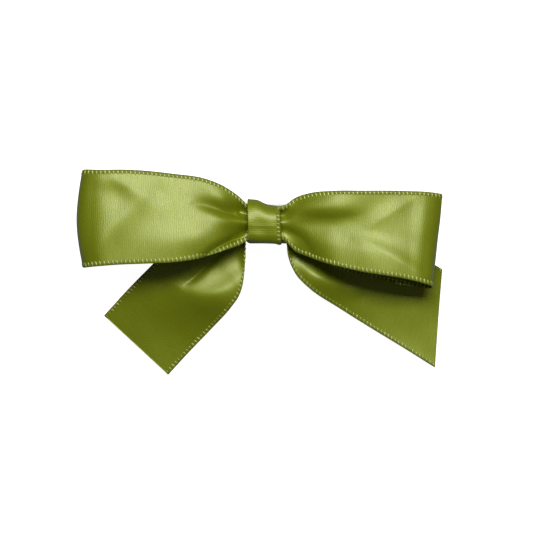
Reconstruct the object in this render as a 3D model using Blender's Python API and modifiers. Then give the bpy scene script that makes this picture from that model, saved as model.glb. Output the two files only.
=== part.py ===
"""Pre-made gift bow of satin ribbon, lying on its back with its face up.

Metres, +Z up. +X points to the right loop and +Y to the upper edge of the loops. The origin is at
the middle of the back face, where the bow meets the gift.
"""

import math

import bmesh
import bpy
from mathutils import Vector

MM = 0.001

# Ribbon and waist, mm
RIBBON_THICK = 0.4
RIBBON_ACROSS = 12          # faces across the ribbon's width
STRAND_X = 3.4              # half length of the three strands inside the wrap
STRAND_HALF_HEIGHT = 4.1    # half height of the gathered strands
STRAND_PLEAT = 0.95         # half depth of the pleats inside the wrap
PLEATS = 2                  # whole pleats across the ribbon
FRONT_Z, MIDDLE_Z, BACK_Z = 9.3, 7.6, 5.9

# Thread, wrap and glue, mm
THREAD_D = 0.5
THREAD_TURNS = 4
THREAD_PITCH = 0.95
THREAD_HALF_Y, THREAD_Z = 5.0, (4.2, 11.0)
WRAP_WIDTH = 9.5
WRAP_THICK = 0.4
WRAP_HALF_Y, WRAP_Z = 5.75, (3.5, 11.75)
SQUARENESS = 0.42           # power of the rounded section of the thread and the wrap, 1 is an oval
WRAP_LAP_DROP = 1.1         # the outer end lies this far behind the inner end
WRAP_LAP = 3.2              # half length of the lap
GLUE_SIZE = (6.0, 4.6, 0.3)

# Pad and liner, mm
PAD_SIZE, PAD_Z = (10.6, 10.0), (0.45, 1.75)
PAD_CORNER = 1.5
LINER_SIZE, LINER_Z = (11.2, 10.6), (0.0, 0.25)
LINER_TAB = 4.0

# Loops: station = (x, z, upper edge y, lower edge y, pleat depth, belly), mm, from the front of the
# waist out to the fold and back behind. The left loop is written with x growing outwards.
ROOT_X = 5.1
LEFT_LOOP = (
    (ROOT_X, 9.3, 4.4, -4.5, 0.95, 0.0),
    (7.6, 10.2, 6.9, -6.0, 1.2, 0.3),
    (11.0, 11.7, 9.2, -7.3, 1.2, 0.7),
    (16.0, 13.3, 11.2, -9.0, 0.8, 1.3),
    (24.0, 14.9, 12.4, -10.4, 0.3, 1.4),
    (33.0, 15.0, 13.3, -10.5, 0.1, 0.8),
    (41.0, 13.9, 13.7, -10.9, 0.0, 0.2),
    (46.0, 12.6, 13.9, -11.5, 0.0, 0.0),
    (48.6, 10.9, 13.9, -11.6, 0.0, 0.2),
    (48.8, 8.8, 13.8, -11.6, 0.0, 0.3),
    (47.0, 7.3, 13.5, -11.4, 0.0, 0.1),
    (42.0, 6.7, 13.0, -10.8, 0.0, 0.0),
    (33.0, 6.6, 12.2, -10.3, 0.1, 0.0),
    (22.0, 6.7, 10.8, -9.3, 0.3, 0.1),
    (14.0, 7.1, 8.6, -7.6, 0.7, 0.2),
    (9.0, 7.6, 6.4, -5.8, 0.8, 0.0),
    (ROOT_X, 7.6, 4.4, -4.5, 0.95, 0.0),
)
RIGHT_LOOP = (
    (ROOT_X, 9.3, 4.3, -4.6, 0.95, 0.0),
    (7.6, 10.2, 6.4, -7.2, 1.2, 0.3),
    (11.5, 11.7, 7.7, -9.0, 1.2, 0.7),
    (17.5, 13.3, 8.2, -11.0, 0.8, 1.3),
    (25.0, 14.6, 8.2, -12.8, 0.3, 1.4),
    (33.0, 14.6, 8.1, -14.0, 0.1, 0.8),
    (39.5, 13.6, 8.0, -15.0, 0.0, 0.2),
    (43.2, 12.4, 7.7, -15.9, 0.0, 0.0),
    (45.6, 10.8, 7.3, -17.0, 0.0, 0.2),
    (45.8, 8.8, 7.2, -17.3, 0.0, 0.3),
    (44.2, 7.3, 7.1, -17.2, 0.0, 0.1),
    (39.5, 6.7, 7.1, -16.8, 0.0, 0.0),
    (31.5, 6.6, 7.2, -15.4, 0.1, 0.0),
    (22.0, 6.7, 7.2, -13.1, 0.3, 0.1),
    (14.0, 7.1, 6.6, -9.9, 0.7, 0.2),
    (9.0, 7.6, 5.6, -7.2, 0.8, 0.0),
    (ROOT_X, 7.6, 4.3, -4.6, 0.95, 0.0),
)
RIGHT_END_LEAN = 0.055      # the right loop's fold leans out at the top by this much of its height

# Tails: station = (upper x, upper y, lower x, lower y, z, pleat depth), mm, from the waist to the cut
LEFT_TAIL = (
    (-5.6, 4.0, -5.6, -4.6, 5.7, 0.7),
    (-8.6, 3.6, -5.7, -8.2, 5.0, 0.6),
    (-13.0, 1.8, -5.9, -13.2, 4.3, 0.6),
    (-18.8, -1.6, -6.8, -17.9, 3.4, 0.5),
    (-25.2, -6.6, -9.4, -22.2, 2.4, 0.3),
    (-31.0, -12.2, -14.6, -27.8, 1.5, 0.15),
    (-37.0, -18.3, -20.3, -33.7, 0.9, 0.0),
    (-42.8, -24.5, -26.0, -39.9, 0.5, 0.0),
)
RIGHT_TAIL = (
    (5.6, 3.9, 5.6, -4.8, 5.7, 0.7),
    (9.2, 4.3, 6.0, -8.6, 5.0, 0.6),
    (14.5, 4.2, 7.7, -12.8, 4.3, 0.6),
    (21.0, 2.4, 11.6, -17.1, 3.4, 0.5),
    (28.9, -0.9, 19.4, -22.2, 2.4, 0.3),
    (36.6, -5.6, 28.9, -28.1, 1.5, 0.15),
    (42.2, -9.1, 37.4, -33.3, 0.9, 0.0),
    (45.8, -11.4, 44.4, -37.8, 0.5, 0.0),
)

# Hinges, mm
LOOP_HINGE = (5.1, 0.0, 8.4)
TAIL_HINGE = (4.6, -0.4, 5.9)
LINER_HINGE = (-5.6, 0.0, 0.35)


def clear_scene():
    """Empty the file."""
    for obj in list(bpy.data.objects):
        bpy.data.objects.remove(obj)


def material(name, colour, roughness, metallic=0.0):
    """Principled material of one colour."""
    mat = bpy.data.materials.new(name)
    mat.use_nodes = True
    shader = mat.node_tree.nodes["Principled BSDF"]
    shader.inputs["Base Color"].default_value = (*colour, 1.0)
    shader.inputs["Roughness"].default_value = roughness
    shader.inputs["Metallic"].default_value = metallic
    return mat


def satin():
    """Olive green woven satin."""
    return bpy.data.materials.get("ribbon_satin") or material("ribbon_satin", (0.26, 0.33, 0.04), 0.4)


def thread_cotton():
    """Olive sewing thread."""
    return material("thread_cotton", (0.16, 0.2, 0.03), 0.8)


def hot_glue():
    """Clear set glue."""
    return material("glue", (0.8, 0.78, 0.68), 0.3)


def foam():
    """White closed-cell foam."""
    return material("foam", (0.86, 0.86, 0.84), 0.85)


def paper():
    """Coated release paper."""
    return material("liner_paper", (0.9, 0.88, 0.82), 0.45)


def place(mesh, name, mat, pivot=(0.0, 0.0, 0.0)):
    """Object of a mesh in millimetres, with its origin at the pivot."""
    origin = Vector(pivot)
    for vert in mesh.vertices:
        vert.co = (vert.co - origin) * MM
    obj = bpy.data.objects.new(name, mesh)
    obj.location = origin * MM
    mesh.materials.append(mat)
    bpy.data.collections["gift_bow"].objects.link(obj)
    return obj


def smooth(obj, angle=40.0):
    """Shade smooth, with sharp edges above the angle."""
    bpy.context.view_layer.objects.active = obj
    for poly in obj.data.polygons:
        poly.use_smooth = True
    obj.data.set_sharp_from_angle(angle=math.radians(angle))


def solidify(obj, thick):
    """Give a sheet its thickness, half to each side."""
    mod = obj.modifiers.new("thickness", "SOLIDIFY")
    mod.thickness = thick * MM
    mod.offset = 0.0
    mod.use_even_offset = True


def mesh_of(bm, name):
    """Mesh of a bmesh."""
    mesh = bpy.data.meshes.new(name)
    bmesh.ops.recalc_face_normals(bm, faces=bm.faces)
    bm.to_mesh(mesh)
    bm.free()
    return mesh


def catmull(points, per_span):
    """Smooth rows through the stations, each a tuple of numbers."""
    rows = []
    last = len(points) - 1
    for i in range(last):
        before, start = points[max(i - 1, 0)], points[i]
        end, after = points[i + 1], points[min(i + 2, last)]
        for k in range(per_span):
            t = k / per_span
            rows.append(tuple(
                b + 0.5 * t * (c - a + t * (2 * a - 5 * b + 4 * c - d + t * (3 * (b - c) + d - a)))
                for a, b, c, d in zip(before, start, end, after)))
    rows.append(points[-1])
    return rows


def rib(upper, lower, normal, pleat, belly):
    """Points across the ribbon between its two edges, pleated and bellied along the normal."""
    points = []
    for j in range(RIBBON_ACROSS + 1):
        f = j / RIBBON_ACROSS
        lift = pleat * math.cos(2 * math.pi * PLEATS * (f - 0.5)) + belly * math.sin(math.pi * f)
        points.append(upper.lerp(lower, f) + normal * lift)
    return points


def loft(ribs, name):
    """Sheet through the ribs, which have the same number of points but unlike shapes."""
    bm = bmesh.new()
    grid = [[bm.verts.new(point) for point in points] for points in ribs]
    for row, after in zip(grid, grid[1:]):
        for j in range(len(row) - 1):
            bm.faces.new((row[j], row[j + 1], after[j + 1], after[j]))
    return mesh_of(bm, name)


def strand(name, z):
    """Length of ribbon gathered inside the wrap."""
    steps = 4
    ribs = []
    for i in range(steps + 1):
        x = STRAND_X * (2 * i / steps - 1)
        ribs.append(rib(Vector((x, STRAND_HALF_HEIGHT, z)), Vector((x, -STRAND_HALF_HEIGHT, z)),
                        Vector((0, 0, 1)), STRAND_PLEAT, 0.0))
    obj = place(loft(ribs, name), name, satin())
    solidify(obj, RIBBON_THICK)
    smooth(obj)


def loop(name, stations, side, lean):
    """Ribbon loop from the front of the waist round its fold to the back of the waist."""
    rows = catmull(stations, 2)
    reach = max(row[0] for row in rows)
    ribs = []
    for i, (x, z, upper_y, lower_y, pleat, belly) in enumerate(rows):
        before, after = rows[max(i - 1, 0)], rows[min(i + 1, len(rows) - 1)]
        along = Vector((side * (after[0] - before[0]), 0, after[1] - before[1]))
        if i in (0, len(rows) - 1):
            along.z = 0
        normal = along.cross(Vector((0, side, 0))).normalized()
        if i < len(rows) / 2 and normal.z < 0 and abs(along.x) > abs(along.z):
            normal.negate()
        share = lean * (x / reach) ** 2
        middle = 0.5 * (upper_y + lower_y)
        upper = Vector((side * (x + share * (upper_y - middle)), upper_y, z))
        lower = Vector((side * (x + share * (lower_y - middle)), lower_y, z))
        ribs.append(rib(upper, lower, normal, pleat, belly))
    pivot = (side * LOOP_HINGE[0], LOOP_HINGE[1], LOOP_HINGE[2])
    obj = place(loft(ribs, name), name, satin(), pivot)
    solidify(obj, RIBBON_THICK)
    smooth(obj)


def tail(name, stations, side):
    """Ribbon tail from the back of the waist to its cut end."""
    ribs = []
    for upper_x, upper_y, lower_x, lower_y, z, pleat in catmull(stations, 3):
        ribs.append(rib(Vector((upper_x, upper_y, z)), Vector((lower_x, lower_y, z)),
                        Vector((0, 0, 1)), pleat, 0.0))
    pivot = (side * TAIL_HINGE[0], TAIL_HINGE[1], TAIL_HINGE[2])
    obj = place(loft(ribs, name), name, satin(), pivot)
    solidify(obj, RIBBON_THICK)
    smooth(obj)


def binding_thread():
    """Turns of thread round the gathered waist."""
    curve = bpy.data.curves.new("binding_thread", "CURVE")
    curve.dimensions = "3D"
    curve.bevel_depth = THREAD_D / 2 * MM
    curve.bevel_resolution = 2
    curve.use_fill_caps = True
    per_turn = 16
    count = THREAD_TURNS * per_turn
    spline = curve.splines.new("POLY")
    spline.points.add(count)
    mid = 0.5 * (THREAD_Z[0] + THREAD_Z[1])
    half = 0.5 * (THREAD_Z[1] - THREAD_Z[0])
    for i, point in enumerate(spline.points):
        turn = 2 * math.pi * i / per_turn
        x = THREAD_PITCH * THREAD_TURNS * (i / count - 0.5)
        y, z = oval(turn, THREAD_HALF_Y, half)
        point.co = (x * MM, y * MM, (mid + z) * MM, 1.0)
    obj = bpy.data.objects.new("binding_thread", curve)
    curve.materials.append(thread_cotton())
    bpy.data.collections["gift_bow"].objects.link(obj)


def oval(turn, half_y, half_z):
    """Point on a rounded box section, from the middle of its back."""
    s, c = math.sin(turn), -math.cos(turn)
    return (half_y * math.copysign(abs(s) ** SQUARENESS, s),
            half_z * math.copysign(abs(c) ** SQUARENESS, c))


def centre_wrap():
    """Band of ribbon round the waist, its ends lapped at the back."""
    mid = 0.5 * (WRAP_Z[0] + WRAP_Z[1])
    half = 0.5 * (WRAP_Z[1] - WRAP_Z[0])
    low = WRAP_Z[0] - WRAP_LAP_DROP
    steps = 48
    path = [(WRAP_LAP, WRAP_Z[0]), (0.0, WRAP_Z[0])]
    for i in range(steps):
        turn = -2 * math.pi * (i + 0.5) / steps
        y, z = oval(turn, WRAP_HALF_Y, half)
        if z < 0 and abs(y) < WRAP_LAP:
            continue
        sink = WRAP_LAP_DROP if y > 0 and z < 0 else 0.0
        path.append((y, mid + z - sink * min(1.0, -z / half) ** 2))
    path += [(WRAP_LAP * 0.7, low), (0.0, low), (-WRAP_LAP, low)]
    bm = bmesh.new()
    rim = [bm.verts.new((-WRAP_WIDTH / 2, y, z)) for y, z in path]
    edges = [bm.edges.new(pair) for pair in zip(rim, rim[1:])]
    made = bmesh.ops.extrude_edge_only(bm, edges=edges)["geom"]
    bmesh.ops.translate(bm, vec=(WRAP_WIDTH, 0, 0),
                        verts=[item for item in made if isinstance(item, bmesh.types.BMVert)])
    obj = place(mesh_of(bm, "centre_wrap"), "centre_wrap", satin())
    solidify(obj, WRAP_THICK)
    smooth(obj)


def plate(name, size, z_span, corner, mat, pivot=(0.0, 0.0, 0.0), tab=0.0):
    """Flat rounded plate, with a tab on its +X side if it has one."""
    bm = bmesh.new()
    bmesh.ops.create_cube(bm, size=1.0)
    for vert in bm.verts:
        vert.co.x = vert.co.x * size[0] + (tab if vert.co.x > 0 else 0.0)
        vert.co.y *= size[1]
        vert.co.z = z_span[0] if vert.co.z < 0 else z_span[1]
    upright = [edge for edge in bm.edges if abs(edge.verts[0].co.z - edge.verts[1].co.z) > 1e-6]
    bmesh.ops.bevel(bm, geom=upright, offset=corner, segments=4, profile=0.5, affect="EDGES")
    obj = place(mesh_of(bm, name), name, mat, pivot)
    smooth(obj, 30.0)


def wrap_glue():
    """Glue between the lapped ends of the wrap."""
    gap_mid = WRAP_Z[0] - WRAP_LAP_DROP / 2
    z_span = (gap_mid - GLUE_SIZE[2] / 2, gap_mid + GLUE_SIZE[2] / 2)
    plate("wrap_glue", GLUE_SIZE[:2], z_span, 1.6, hot_glue())


def build():
    """Make every node."""
    clear_scene()
    group = bpy.data.collections.new("gift_bow")
    bpy.context.scene.collection.children.link(group)
    strand("waist_front", FRONT_Z)
    strand("waist_middle", MIDDLE_Z)
    strand("waist_back", BACK_Z)
    binding_thread()
    centre_wrap()
    wrap_glue()
    plate("adhesive_pad", PAD_SIZE, PAD_Z, PAD_CORNER, foam())
    plate("release_liner", LINER_SIZE, LINER_Z, PAD_CORNER, paper(), LINER_HINGE, LINER_TAB)
    loop("left_loop", LEFT_LOOP, -1, 0.0)
    loop("right_loop", RIGHT_LOOP, 1, RIGHT_END_LEAN)
    tail("left_tail", LEFT_TAIL, -1)
    tail("right_tail", RIGHT_TAIL, 1)


build()
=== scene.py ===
"""Pre-made gift bow of olive satin ribbon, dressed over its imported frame.

The bow lies on its back. +Z is out of its face, +X towards the right loop, +Y towards the upper edge
of the loops. Sizes in the classes are in millimetres, and meshes are made in metres.
"""

from __future__ import annotations

import logging
import math
from dataclasses import dataclass, field
from enum import Enum

import bpy
import numpy as np
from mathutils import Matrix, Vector


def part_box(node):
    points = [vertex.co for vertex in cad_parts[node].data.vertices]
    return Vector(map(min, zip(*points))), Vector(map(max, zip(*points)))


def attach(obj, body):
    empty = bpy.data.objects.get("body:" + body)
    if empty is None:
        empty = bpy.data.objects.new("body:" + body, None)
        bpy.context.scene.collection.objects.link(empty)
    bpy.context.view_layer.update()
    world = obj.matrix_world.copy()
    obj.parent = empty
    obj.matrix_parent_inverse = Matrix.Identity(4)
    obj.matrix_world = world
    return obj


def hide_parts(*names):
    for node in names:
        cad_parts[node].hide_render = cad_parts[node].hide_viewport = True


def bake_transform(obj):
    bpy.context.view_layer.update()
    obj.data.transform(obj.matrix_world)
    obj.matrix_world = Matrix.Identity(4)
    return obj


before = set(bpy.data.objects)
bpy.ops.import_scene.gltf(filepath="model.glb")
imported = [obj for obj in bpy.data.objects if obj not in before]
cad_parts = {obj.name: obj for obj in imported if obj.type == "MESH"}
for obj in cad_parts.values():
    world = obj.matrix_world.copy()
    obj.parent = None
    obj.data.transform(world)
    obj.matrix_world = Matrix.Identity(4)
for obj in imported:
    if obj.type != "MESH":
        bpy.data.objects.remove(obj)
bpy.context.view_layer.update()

LOG = logging.getLogger("gift_bow")
MM = 0.001
RIBBON_WIDTH = 25.0
Array = np.ndarray


class Side(Enum):
    """Side of the knot, as the sign of X."""

    LEFT = -1
    RIGHT = 1


class Hold(Enum):
    FOLDED = "folded"
    GATHERED = "gathered"
    LAID = "laid"


# ---------------------------------------------------------------- shader groups


def new_group(name: str, inputs: dict[str, float | None], outputs: dict[str, str]) -> bpy.types.NodeTree:
    """Make a shader node group with named sockets.

    Args:
        name: The group's name.
        inputs: Socket names with their default number, or None for a vector.
        outputs: Socket names with their socket type.

    Returns:
        The empty group, with its input and output nodes placed.
    """
    tree = bpy.data.node_groups.new(name, "ShaderNodeTree")
    for key, value in inputs.items():
        kind = "NodeSocketVector" if value is None else "NodeSocketFloat"
        socket = tree.interface.new_socket(name=key, in_out="INPUT", socket_type=kind)
        if value is not None:
            socket.default_value = value
    for key, kind in outputs.items():
        tree.interface.new_socket(name=key, in_out="OUTPUT", socket_type=kind)
    tree.nodes.new("NodeGroupInput").name = "In"
    tree.nodes.new("NodeGroupOutput").name = "Out"
    return tree


@dataclass
class Wiring:
    """Short calls that add and link nodes in one tree.

    Attributes:
        tree: The tree that takes the nodes.
    """

    tree: bpy.types.NodeTree

    def add(self, kind: str, links: dict[int | str, object] | None = None, **props: object) -> bpy.types.Node:
        """Add a node.

        Args:
            kind: The node's type without the ShaderNode prefix.
            links: Input index or name to a socket to link, or to a value to set.
            props: Properties of the node.

        Returns:
            The new node.
        """
        node = self.tree.nodes.new("ShaderNode" + kind)
        for key, value in props.items():
            setattr(node, key, value)
        for key, value in (links or {}).items():
            if isinstance(value, bpy.types.NodeSocket):
                self.tree.links.new(value, node.inputs[key])
            else:
                node.inputs[key].default_value = value
        return node

    def math(self, operation: str, *values: object) -> bpy.types.NodeSocket:
        """Add a math node on the values and return its output."""
        node = self.add("Math", dict(enumerate(values)), operation=operation)
        return node.outputs[0]

    def group(self, tree: bpy.types.NodeTree, links: dict[str, object]) -> bpy.types.Node:
        """Place a node group with its inputs linked or set."""
        return self.add("Group", links, node_tree=tree)

    def join(self, source: bpy.types.NodeSocket, target: bpy.types.NodeSocket) -> None:
        """Link two sockets."""
        self.tree.links.new(source, target)


def principled(tree: bpy.types.NodeTree) -> bpy.types.Node:
    """Return a material's Principled node."""
    return tree.nodes["Principled BSDF"]


def satin_weave_group() -> bpy.types.NodeTree:
    """Weave of satin on a ribbon's own coordinates, one unit to the ribbon's width.

    Returns:
        A group with Height, Shade and Gloss, each about 0 to 1.
    """
    tree = bpy.data.node_groups.get("satin_weave")
    if tree:
        return tree
    tree = new_group("satin_weave", {"Vector": None, "Weft": 46.0, "Warp": 64.0, "Streak": 0.5},
                     {"Height": "NodeSocketFloat", "Shade": "NodeSocketFloat", "Gloss": "NodeSocketFloat"})
    w = Wiring(tree)
    ins, out = tree.nodes["In"].outputs, tree.nodes["Out"].inputs
    parts = w.add("SeparateXYZ", {0: ins["Vector"]})
    u, v = parts.outputs[0], parts.outputs[1]
    wander = w.add("TexNoise", {"Vector": ins["Vector"], "Scale": 9.0, "Detail": 2.0})
    drift = w.math("MULTIPLY", w.math("SUBTRACT", wander.outputs[0], 0.5), 0.05)
    along = w.math("MULTIPLY", w.math("ADD", u, drift), ins["Weft"])
    across = w.math("MULTIPLY", w.math("ADD", v, drift), ins["Warp"])
    weft = w.math("SINE", w.math("MULTIPLY", along, 2 * math.pi))
    shift = w.math("MULTIPLY", w.math("FLOOR", across), 0.4)
    float_at = w.math("ADD", w.math("MULTIPLY", along, 0.5), shift)
    float_run = w.math("SINE", w.math("MULTIPLY", float_at, 2 * math.pi))
    warp = w.math("SINE", w.math("MULTIPLY", across, 2 * math.pi))
    stretch = w.add("Mapping", {"Vector": ins["Vector"], "Scale": (5.0, 90.0, 1.0)})
    streaks = w.add("TexNoise", {"Vector": stretch.outputs[0], "Scale": 1.0, "Detail": 3.0})
    slub = w.add("Mapping", {"Vector": ins["Vector"], "Scale": (60.0, 7.0, 1.0)})
    slubs = w.add("TexNoise", {"Vector": slub.outputs[0], "Scale": 1.0, "Detail": 2.0})
    height = w.math("MULTIPLY_ADD", weft, 0.22, 0.5)
    height = w.math("MULTIPLY_ADD", float_run, 0.12, height)
    height = w.math("MULTIPLY_ADD", warp, 0.06, height)
    height = w.math("MULTIPLY_ADD", w.math("SUBTRACT", slubs.outputs[0], 0.5), 0.5, height)
    w.join(height, out["Height"])
    shade = w.math("MULTIPLY_ADD", w.math("SUBTRACT", streaks.outputs[0], 0.5), ins["Streak"], 0.5)
    shade = w.math("MULTIPLY_ADD", w.math("SUBTRACT", slubs.outputs[0], 0.5), 0.6, shade)
    shade = w.math("MULTIPLY_ADD", weft, 0.08, shade)
    w.join(w.add("Clamp", {0: shade}).outputs[0], out["Shade"])
    grain = w.add("TexNoise", {"Vector": ins["Vector"], "Scale": 60.0, "Detail": 2.0})
    w.join(grain.outputs[0], out["Gloss"])
    return tree


def fine_grain_group() -> bpy.types.NodeTree:
    """Fine uneven grain in object coordinates, for foam, paper, glue and thread.

    Returns:
        A group with Height and Shade, each about 0 to 1.
    """
    tree = bpy.data.node_groups.get("fine_grain")
    if tree:
        return tree
    tree = new_group("fine_grain", {"Vector": None, "Scale": 900.0, "Contrast": 0.6},
                     {"Height": "NodeSocketFloat", "Shade": "NodeSocketFloat"})
    w = Wiring(tree)
    ins, out = tree.nodes["In"].outputs, tree.nodes["Out"].inputs
    fine = w.add("TexNoise", {"Vector": ins["Vector"], "Scale": ins["Scale"], "Detail": 3.0})
    broad = w.add("TexNoise", {"Vector": ins["Vector"], "Scale": 160.0, "Detail": 1.0})
    w.join(fine.outputs[0], out["Height"])
    uneven = w.math("SUBTRACT", fine.outputs[0], 0.5)
    mixed = w.math("MULTIPLY_ADD", uneven, ins["Contrast"], broad.outputs[0])
    w.join(w.add("Clamp", {0: mixed}).outputs[0], out["Shade"])
    return tree


# ---------------------------------------------------------------- finishes


@dataclass(frozen=True)
class Finish:
    """Principled finish whose colour and surface come from a node group.

    Attributes:
        name: Material name.
        slot: Record slot it stands for. Not used.
        dark: Colour in the low parts.
        light: Colour in the high parts.
        rough: Lowest and highest roughness.
        bump: Strength of the bump.
        depth: Depth of the bump, metres.
        specular: Strength of the plain highlight.
    """

    name: str
    slot: str
    dark: tuple[float, float, float]
    light: tuple[float, float, float]
    rough: tuple[float, float]
    bump: float = 0.3
    depth: float = 0.0001
    specular: float = 0.4

    def pattern(self, w: Wiring) -> tuple[bpy.types.NodeSocket, bpy.types.NodeSocket, bpy.types.NodeSocket]:
        """Lay the pattern.

        Args:
            w: The material's wiring.

        Returns:
            Height, shade and gloss masks.
        """
        where = w.add("TexCoord").outputs["Object"]
        grain = w.group(fine_grain_group(), {"Vector": where})
        return grain.outputs["Height"], grain.outputs["Shade"], grain.outputs["Shade"]

    def tune(self, shader: bpy.types.Node) -> None:
        """Set the shader's own plain sockets."""
        shader.inputs["Specular IOR Level"].default_value = self.specular

    def material(self) -> bpy.types.Material:
        """Make the material, or find the one made before.

        Returns:
            The material.
        """
        mat = bpy.data.materials.get(self.name)
        if mat:
            return mat
        mat = bpy.data.materials.new(self.name)
        mat.use_nodes = True
        w = Wiring(mat.node_tree)
        shader = principled(mat.node_tree)
        height, shade, gloss = self.pattern(w)
        colour = w.add("Mix", data_type="RGBA")
        w.join(shade, colour.inputs[0])
        colour.inputs[6].default_value = (*self.dark, 1.0)
        colour.inputs[7].default_value = (*self.light, 1.0)
        w.join(colour.outputs[2], shader.inputs["Base Color"])
        rough = w.add("MapRange", {0: gloss, 3: self.rough[0], 4: self.rough[1]})
        w.join(rough.outputs[0], shader.inputs["Roughness"])
        bump = w.add("Bump", {"Strength": self.bump, "Distance": self.depth, "Height": height})
        w.join(bump.outputs[0], shader.inputs["Normal"])
        self.tune(shader)
        return mat


@dataclass(frozen=True)
class SatinFinish(Finish):
    """Woven satin, patterned on the ribbon's own coordinates.

    Attributes:
        metallic: Share of metal-like reflection, which gives satin its coloured shine.
        coat: Clear shine in the weave's hollows and on its threads.
        coat_rough: Roughness of the clear shine.
        sheen: Strength of the soft light at the edges.
        sheen_rough: Roughness of that light.
        sheen_tint: Colour of that light.
        specular: Strength of the plain highlight, less than other finishes have.
    """

    specular: float = 0.25
    metallic: float = 0.34
    coat: tuple[float, float] = (0.45, 1.0)
    coat_rough: float = 0.33
    sheen: float = 0.05
    sheen_rough: float = 0.35
    sheen_tint: tuple[float, float, float, float] = (0.75, 0.85, 0.4, 1.0)

    def pattern(self, w: Wiring) -> tuple[bpy.types.NodeSocket, bpy.types.NodeSocket, bpy.types.NodeSocket]:
        """Lay the weave.

        Args:
            w: The material's wiring.

        Returns:
            Height, shade and gloss masks.
        """
        where = w.add("UVMap", uv_map="ribbon").outputs[0]
        weave = w.group(satin_weave_group(), {"Vector": where})
        low, high = self.coat
        shine = w.add("MapRange", {0: weave.outputs["Height"], 1: 0.2, 2: 0.8, 3: low, 4: high})
        w.join(shine.outputs[0], principled(w.tree).inputs["Coat Weight"])
        return weave.outputs["Height"], weave.outputs["Shade"], weave.outputs["Gloss"]

    def tune(self, shader: bpy.types.Node) -> None:
        """Set the satin's plain sockets.

        Args:
            shader: The material's Principled node.
        """
        values = {"Specular IOR Level": self.specular, "Metallic": self.metallic,
                  "Coat Roughness": self.coat_rough, "Sheen Weight": self.sheen,
                  "Sheen Roughness": self.sheen_rough, "Sheen Tint": self.sheen_tint}
        for socket, value in values.items():
            shader.inputs[socket].default_value = value


SATIN = SatinFinish("olive_satin", "ribbon_satin", (0.222, 0.272, 0.0015), (0.31, 0.37, 0.004), (0.44, 0.51),
                    bump=0.45, depth=0.00008)
# Painted highlight: the beads are coloured lighter and paler than the satin so that they read as catching the
# light.
SELVAGE_PAINTED_HIGHLIGHT = SatinFinish("olive_selvage", "ribbon_satin", (0.46, 0.53, 0.07), (0.64, 0.70, 0.22), (0.42, 0.5),
                      bump=0.3, depth=0.00006)
# Painted shade: the cord under the beads is coloured darker than the satin, which darkens the very edge and
# the gaps between the beads; its duller shine is its own finish.
RIM_PAINTED_SHADE = SatinFinish("olive_rim_painted_shade", "ribbon_satin", (0.17, 0.21, 0.002), (0.25, 0.30, 0.004), (0.5, 0.65),
                  bump=0.3, depth=0.00006, sheen=0.0, specular=0.3, metallic=0.1, coat=(0.1, 0.3))
THREAD = Finish("olive_thread", "thread_cotton", (0.12, 0.16, 0.01), (0.22, 0.27, 0.03), (0.7, 0.9), 0.5)
GLUE = Finish("set_glue", "glue", (0.72, 0.69, 0.58), (0.84, 0.82, 0.72), (0.22, 0.4), 0.2)
FOAM = Finish("white_foam", "foam", (0.74, 0.74, 0.71), (0.9, 0.9, 0.88), (0.8, 0.95), 0.6, 0.0002)
PAPER = Finish("liner_paper", "liner_paper", (0.84, 0.81, 0.72), (0.93, 0.91, 0.84), (0.4, 0.55), 0.15)


# ---------------------------------------------------------------- sheet geometry


def smooth_rows(table: Array, count: int, key: Array | None = None) -> Array:
    """Read even rows off a smooth curve through the table's rows.

    Args:
        table: Rows of numbers.
        count: Rows wanted.
        key: Distance of each row along the ribbon, or None to use the rows' own spacing.

    Returns:
        The rows, count of them.
    """
    spots = np.arange(len(table), dtype=float) if key is None else np.asarray(key, float)
    fine = np.linspace(spots[0], spots[-1], count)
    slopes = np.gradient(table, spots, axis=0)
    i = np.clip(np.searchsorted(spots, fine, side="right") - 1, 0, len(spots) - 2)
    span = spots[i + 1] - spots[i]
    t = ((fine - spots[i]) / span)[:, None]
    a, b = table[i], table[i + 1]
    m, n = slopes[i] * span[:, None], slopes[i + 1] * span[:, None]
    return ((2 * t**3 - 3 * t**2 + 1) * a + (t**3 - 2 * t**2 + t) * m
            + (3 * t**2 - 2 * t**3) * b + (t**3 - t**2) * n)


def distance_along(points: Array) -> Array:
    """Distance of each point along a line, from 0 at its start."""
    return np.concatenate(([0.0], np.cumsum(np.linalg.norm(np.diff(points, axis=0), axis=1))))


def pleat_wave(share: Array) -> Array:
    """Height of two whole pleats at each share of the width, from -1 to 1."""
    return np.cos(4 * math.pi * (share - 0.5))


def refine(grid: Array, factor: int) -> Array:
    """Divide a grid's spans both ways, on a smooth surface.

    Args:
        grid: Points, rows by columns.
        factor: Spans made of each span.

    Returns:
        The finer grid.
    """
    rows, cols = grid.shape[:2]
    flat = smooth_rows(grid.reshape(rows, -1), (rows - 1) * factor + 1)
    turned = flat.reshape(-1, cols, grid.shape[2]).transpose(1, 0, 2)
    flat = smooth_rows(turned.reshape(cols, -1), (cols - 1) * factor + 1)
    return flat.reshape((cols - 1) * factor + 1, -1, grid.shape[2]).transpose(1, 0, 2)


def unit(vectors: Array) -> Array:
    """Scale vectors to length one."""
    return vectors / np.maximum(np.linalg.norm(vectors, axis=-1, keepdims=True), 1e-12)


def grid_normals(grid: Array) -> Array:
    """Normals of a grid surface."""
    return unit(np.cross(np.gradient(grid, axis=0), np.gradient(grid, axis=1)))


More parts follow.
